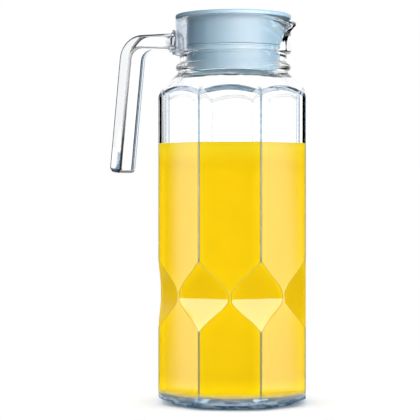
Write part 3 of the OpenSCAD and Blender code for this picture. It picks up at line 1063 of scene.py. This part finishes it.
def lid_outline(size, floor_r, rim):
    """Half section of the lid's turned body, from its middle out and back over the top."""
    top = rim + size.flange_t
    low = rim - size.plug_h
    ring_low = low + size.seal_up - size.seal_gap
    ring_high = low + size.seal_up + size.seal_h + size.seal_gap
    plug_in = size.plug_r - size.plug_wall
    end_r, root_r, lip_r, top_r, dish = (r * MM for r in (END_R, ROOT_R, LIP_R, TOP_R, DISH))
    outline = [(0, rim - root_r)]
    outline += arc((plug_in - top_r, rim - root_r - top_r), top_r, 90, 0, 3)
    outline += arc((plug_in + end_r, low + end_r), end_r, 180, 270, 3)
    outline += arc((size.plug_r - end_r, low + end_r), end_r, -90, 0, 3)
    outline += [(size.plug_r, ring_low), (floor_r, ring_low), (floor_r, ring_high),
                (size.plug_r, ring_high)]
    outline += arc((size.plug_r + root_r, rim - root_r), root_r, 180, 90, 2)
    outline += arc((size.flange_r - lip_r, rim + lip_r), lip_r, -90, 0, 3)
    outline += arc((size.flange_r - top_r, top - top_r), top_r, 0, 90, 4)
    return outline + [(size.well_r + 4 * MM, top), (size.well_r + 3 * MM, top - dish),
                      (0, top - dish)]


def window_body(size, rim):
    """The pouring window with its rounded corners, as a solid to cut with."""
    middle = rim - size.window_drop - size.window_h / 2
    corner = WINDOW_R * MM
    across, up = size.window_w / 2 - corner, size.window_h / 2 - corner
    ring = []
    for y, z, first in ((across, up, 0), (-across, up, 90), (-across, -up, 180),
                        (across, -up, 270)):
        ring += arc((y, middle + z), corner, first, first + 90, 5)
    return lofted("window", [[(x, y, z) for y, z in ring]
                             for x in (-size.plug_r - 3 * MM,
                                       4.5 * MM - (size.plug_r - size.plug_wall))])


class JUG_OT_lid(bpy.types.Operator):
    """Models the moulded plug lid with its flange, finger wells, grip bar and pouring window"""

    bl_idname = "jug.lid"
    bl_label = "Plug lid"

    def execute(self, context):
        size, jug = context.scene.lid_sizes, context.scene.jug_sizes
        rim = rim_of(jug)
        top = rim + size.flange_t
        floor_r = jug.bore_r - 2 * size.seal_gap - size.seal_t
        piece = turned_piece("plug_lid", lid_outline(size, floor_r, rim), LID_STEPS)
        low, gap = top - size.well_depth, size.bar_w / 2
        for side in (-1, 1):
            combine(piece, well_body("cup", size.well_r + size.well_wall, gap - size.well_wall,
                                     CUP_R * MM, low - size.well_wall, rim + MM, side), "UNION")
        for side in (-1, 1):
            combine(piece, well_body("well", size.well_r, gap, WELL_R * MM, low, top + 4 * MM,
                                     side), "DIFFERENCE")
        combine(piece, window_body(size, rim), "DIFFERENCE")
        soften(piece, LID_SOFT * MM)
        dress(piece, plastic_material("polypropylene_satin_moulded",
                                      context.scene.jug_finishes.lid, *LID_FINISH),
              "lid", "lid_plastic", "lid")
        return {"FINISHED"}


class JUG_OT_seal(bpy.types.Operator):
    """Models the soft ring in the plug's groove, with its two lips"""

    bl_idname = "jug.seal"
    bl_label = "Seal ring"

    def execute(self, context):
        size, jug = context.scene.lid_sizes, context.scene.jug_sizes
        low = rim_of(jug) - size.plug_h + size.seal_up
        high = low + size.seal_h
        outer = jug.bore_r - size.seal_gap
        outline = [(outer - size.seal_t, low)]
        outline += [(outer - inwards * MM, low + up * MM) for inwards, up in RING_LIP]
        outline += [(outer - inwards * MM, high - down * MM)
                    for inwards, down in reversed(RING_LIP)]
        piece = turned_piece("soft_seal_ring", outline + [(outer - size.seal_t, high)], RING_STEPS)
        soften(piece, RING_SOFT * MM, 2)
        dress(piece, plastic_material("elastomer_soft_satin", context.scene.jug_finishes.seal,
                                      *RING_FINISH), "seal", "seal", "seal_ring")
        return {"FINISHED"}


class JUG_OT_juice(bpy.types.Operator):
    """Models the juice that wets the inside of the jug up to its level"""

    bl_idname = "jug.juice"
    bl_label = "Orange juice"

    def execute(self, context):
        size, drink = context.scene.jug_sizes, context.scene.drink_sizes
        flats = size.across_flats - 2 * size.wall + 2 * drink.wetting
        trim, rounding = size.inner_trim, size.inner_round
        floor = size.floor_z - drink.wetting
        floor_top = floor + size.floor_round
        floor_r = corner_radius(flats, trim) - size.floor_round
        ring = section(flats, trim, rounding)
        rows = [round_row(floor_r * share, floor, polar(ring)[1]) for share in DISC_SHARES]
        rows += base_rows(ring, floor_r, size.floor_round, floor_top, FLOOR_SHARES)
        rows += [row for row in wall_rows(size, flats, trim, rounding, size.inner_scoop, floor_top)
                 if row[0][2] < drink.level - 2 * MM]
        for share, climb in JUICE_TOP:
            rows.append([(x * share, y * share, drink.level + climb * drink.meniscus)
                         for x, y in ring])
        piece = grid_piece("orange_juice", rows)
        dress(piece, juice_material(context.scene.jug_finishes, size.floor_z, drink.level), "jug")
        return {"FINISHED"}


class JUG_OT_stage(bpy.types.Operator):
    """Sets the floor, the studio lamps, the world and the camera"""

    bl_idname = "jug.stage"
    bl_label = "Stage"

    def execute(self, context):
        scene = context.scene
        bpy.ops.mesh.primitive_circle_add(vertices=96, radius=FLOOR_R, fill_type="NGON")
        floor = context.object
        floor.name = "pale_floor"
        floor.data.materials.append(floor_material(scene.jug_finishes))
        for settings in SOFTBOXES:
            softbox(*settings)
        lid_lamps()
        set_world(scene)
        set_camera(scene)
        scene.view_settings.view_transform = "Standard"
        return {"FINISHED"}


def add_lamp(name, shape, width, height, watts, place, turn):
    """An area lamp that neither the camera nor clear glass shows."""
    lamp = bpy.data.lights.new(name, "AREA")
    lamp.shape = shape
    lamp.size, lamp.size_y = width, height
    lamp.energy = watts
    holder = bpy.data.objects.new(name, lamp)
    bpy.context.scene.collection.objects.link(holder)
    holder.location = place
    holder.rotation_mode = "QUATERNION"
    holder.rotation_quaternion = turn
    holder.visible_camera = False
    holder.visible_transmission = False
    return holder


def softbox(name, angle, first, last, low, high, radiance, lean, soft, flagged):
    """An upright softbox that shows only in what is glossy; the world lights what is matt."""
    width, height = (last - first) * MM, (high - low) * MM
    away, aside = level_way(angle), level_way(angle + 90)
    place = (away * SOFTBOX_AWAY + aside * (first + last) / 2
             + Vector((0, 0, (low + high) / 2))) * MM
    holder = add_lamp(name, "RECTANGLE", width, height, radiance * math.pi * width * height, place,
                      Quaternion(away, math.radians(lean)) @ away.to_track_quat("Z", "Y"))
    holder.visible_diffuse = False
    holder.data.use_nodes = True
    tree = holder.data.node_tree
    tree.nodes.clear()
    spot = add_node(tree, "NewGeometry")
    parts = add_node(tree, "SeparateXYZ", {0: spot.outputs["Parametric"]})
    level = maths(tree, "MULTIPLY", faded(tree, parts.outputs[0], 0.5, 0.5, soft),
                  faded(tree, parts.outputs[1], 0.5, 0.5, SOFTBOX_ENDS))
    if flagged:
        level = flagged_level(tree, spot, level, away)
    light = add_node(tree, "Emission", {"Strength": level})
    add_node(tree, "OutputLight", {"Surface": light.outputs[0]})


def flagged_level(tree, spot, level, away):
    """Keeps a softbox's light off the neck and the far sides, by where the lit point lies."""
    path = add_node(tree, "LightPath")
    back = add_node(tree, "VectorMath", {0: spot.outputs["Incoming"],
                                         3: path.outputs["Ray Length"]}, operation="SCALE")
    lit = vector_maths(tree, "ADD", spot.outputs["Position"], back.outputs[0]).outputs[0]
    for way, near, far in (((0, 0, -1), -NECK_FLAG[1], -NECK_FLAG[0]), (away, *SIDE_FLAG)):
        level = maths(tree, "MULTIPLY", level,
                      ramp(tree, dot(tree, lit, way), near * MM, far * MM))
    return level


def faded(tree, value, middle, half, soft):
    """1 within a stretch round a middle, fading to 0 over a share of its half width."""
    off = maths(tree, "ABSOLUTE", maths(tree, "SUBTRACT", value, middle))
    return ramp(tree, off, half * (1 - soft), half, 1, 0)


def lid_lamps():
    """Soft lamps that reach the lid through clear glass: one from the right and one up from the
    bright juice."""
    lit = bpy.data.collections.new("lit_through_the_glass")
    for name in ("plug_lid", "soft_seal_ring"):
        lit.objects.link(bpy.data.objects[name])
    side = (level_way(KEY_ANGLE) + Vector((0, 0, KEY_RISE))).normalized()
    for name, place, way, width, watts in (
            ("lid_key", side * KEY_AWAY + Vector((0, 0, KEY_AIM)), side, KEY_WIDTH, KEY_WATTS),
            ("lid_fill", Vector((0, 0, FILL_Z)), Vector((0, 0, -1)), FILL_WIDTH, FILL_WATTS)):
        lamp = add_lamp(name, "DISK", width, width, watts, place, way.to_track_quat("Z", "Y"))
        lamp.data.color = LID_LIGHT
        lamp.light_linking.receiver_collection = lit
        lamp.light_linking.blocker_collection = lit


def in_band(tree, way, angle, first, last, soft):
    """1 on the stretch of floor under the way from the jug to a softbox."""
    aside = dot(tree, way, level_way(angle + 90))
    inside = faded(tree, aside, (first + last) / 2 * MM, (last - first) / 2 * MM, soft)
    away = dot(tree, way, level_way(angle))
    start = ramp(tree, away, BAND_START * MM, (BAND_START + BAND_FADE) * MM)
    end = maths(tree, "LESS_THAN", away, SOFTBOX_AWAY * MM)
    return maths(tree, "MULTIPLY", inside, maths(tree, "MULTIPLY", start, end))


def ray_kinds(tree):
    """The light path's outputs, whether a ray was mirrored, and whether it left a matt surface."""
    path = add_node(tree, "LightPath").outputs
    mirrored = maths(tree, "SUBTRACT", path["Is Glossy Ray"], path["Is Transmission Ray"],
                     clamp=True)
    return path, mirrored, maths(tree, "GREATER_THAN", path["Diffuse Depth"], BOUNCED)


def floor_material(finish):
    """Matt floor: it keeps the jug's shadow close by; further out it is plain white to the eye
    and behind glass, and in gloss it shows the dim room and the side softboxes' light."""
    material, tree = new_material("matt_floor_paint")
    place = object_place(tree)
    away = vector_maths(tree, "LENGTH", place).outputs["Value"]
    share = ramp(tree, away, *(edge * MM for edge in PAINT_FADE))
    paint = add_node(tree, "BsdfDiffuse", {"Color": linear(finish.floor)})
    path, mirrored, matt = ray_kinds(tree)
    seen = maths(tree, "ADD", path["Is Camera Ray"], path["Is Transmission Ray"], clamp=True)
    amount = maths(tree, "MAXIMUM", maths(tree, "MULTIPLY", seen, share), mirrored)
    room = dim_room(tree, place)
    for name, angle, first, last, _, _, radiance, _, soft, _ in SOFTBOXES:
        if name.startswith("side"):
            band = in_band(tree, place, angle, first, last, soft)
            room = maths(tree, "MAXIMUM", room, maths(tree, "MULTIPLY", band, radiance))
    level = mixed(tree, mirrored, spread(tree, matt, 1, FLOOR_BOUNCE), room)
    white = add_node(tree, "Emission", {"Strength": level})
    mix = add_node(tree, "MixShader",
                   {0: amount, 1: paint.outputs[0], 2: white.outputs[0]})
    return finished(material, mix)


def towards(tree, way, angle, near, far, inside):
    """Eases from a level to 1 between two angles off a direction round the jug."""
    flat = vector_maths(tree, "MULTIPLY", way, (1, 1, 0)).outputs[0]
    unit = vector_maths(tree, "NORMALIZE", flat).outputs[0]
    return ramp(tree, dot(tree, unit, level_way(angle)), math.cos(math.radians(far)),
                math.cos(math.radians(near)), 1, inside)


def dim_room(tree, way):
    return towards(tree, way, CARD_ANGLE - 90, *ROOM_FADE, ROOM_LEVEL)


def set_world(scene):
    """White to the eye and behind glass, with a black card at either side; in gloss the room
    before the jug is dim."""
    world = bpy.data.worlds.new("studio")
    scene.world = world
    world.use_nodes = True
    tree = world.node_tree
    tree.nodes.clear()
    way = add_node(tree, "TexCoord").outputs["Generated"]
    cards = maths(tree, "MULTIPLY", towards(tree, way, CARD_ANGLE + 180, *LEFT_CARD, CARD_LEVEL),
                  towards(tree, way, CARD_ANGLE, *RIGHT_CARD, CARD_LEVEL))
    tinted = add_node(tree, "CombineColor", {
        channel: maths(tree, "POWER", cards, power) for channel, power in enumerate(CARD_POWERS)})
    path, mirrored, matt = ray_kinds(tree)
    glass = maths(tree, "SUBTRACT", path["Is Transmission Ray"], matt, clamp=True)
    gloss = mixed(tree, mirrored, mixed(tree, glass, 1, BACKDROP), dim_room(tree, way))
    sides = maths(tree, "POWER", dot(tree, way, level_way(CARD_ANGLE)), 2)
    daylight = maths(tree, "MULTIPLY_ADD", sides, DAYLIGHT, DAYLIGHT_FRONT * DAYLIGHT)
    light = add_node(tree, "Background", {
        "Strength": mixed(tree, matt, gloss, daylight),
        "Color": mixed(tree, glass, (1, 1, 1, 1), tinted.outputs[0], "RGBA")})
    add_node(tree, "OutputWorld", {"Surface": light.outputs[0]})


def set_camera(scene):
    """A long lens at the height of the jug's middle, round from the handle's plane."""
    camera = bpy.data.cameras.new("photo_camera")
    camera.lens, camera.sensor_width = LENS, SENSOR
    camera.clip_start, camera.clip_end = 0.05, 100
    place = bpy.data.objects.new("photo_camera", camera)
    scene.collection.objects.link(place)
    turn = math.radians(CAMERA_TURN)
    place.location = (math.sin(turn) * CAMERA_AWAY, -math.cos(turn) * CAMERA_AWAY, CAMERA_HEIGHT)
    pixels = LENS / SENSOR * PICTURE
    left = math.atan((AXIS_AT[0] - PICTURE / 2) / pixels)
    down = math.atan((PICTURE / 2 - AXIS_AT[1]) / pixels)
    place.rotation_euler = (math.pi / 2 - down, 0, turn + left)
    scene.camera = place


class JUG_PT_panel(bpy.types.Panel):
    """Lists the jug's operators"""

    bl_idname = "JUG_PT_panel"
    bl_label = "Glass jug"
    bl_space_type = "VIEW_3D"
    bl_region_type = "UI"
    bl_category = "Jug"

    def draw(self, context):
        for name in OPERATORS:
            self.layout.operator(f"jug.{name}")


OPERATORS = ("glass_body", "handle", "lid", "seal", "juice", "stage")
CLASSES = (JugSizes, HandleSizes, LidSizes, DrinkSizes, Finishes, JUG_OT_stage, JUG_OT_glass_body,
           JUG_OT_handle, JUG_OT_lid, JUG_OT_seal, JUG_OT_juice, JUG_PT_panel)
GROUPS = {"jug_sizes": JugSizes, "handle_sizes": HandleSizes, "lid_sizes": LidSizes,
          "drink_sizes": DrinkSizes, "jug_finishes": Finishes}


def register():
    for item in CLASSES:
        bpy.utils.register_class(item)
    for name, group in GROUPS.items():
        setattr(bpy.types.Scene, name, PointerProperty(type=group))


def unregister():
    for name in GROUPS:
        delattr(bpy.types.Scene, name)
    for item in reversed(CLASSES):
        bpy.utils.unregister_class(item)


def main():
    register()
    for name in OPERATORS:
        getattr(bpy.ops.jug, name)()


if __name__ == "__main__":
    main()
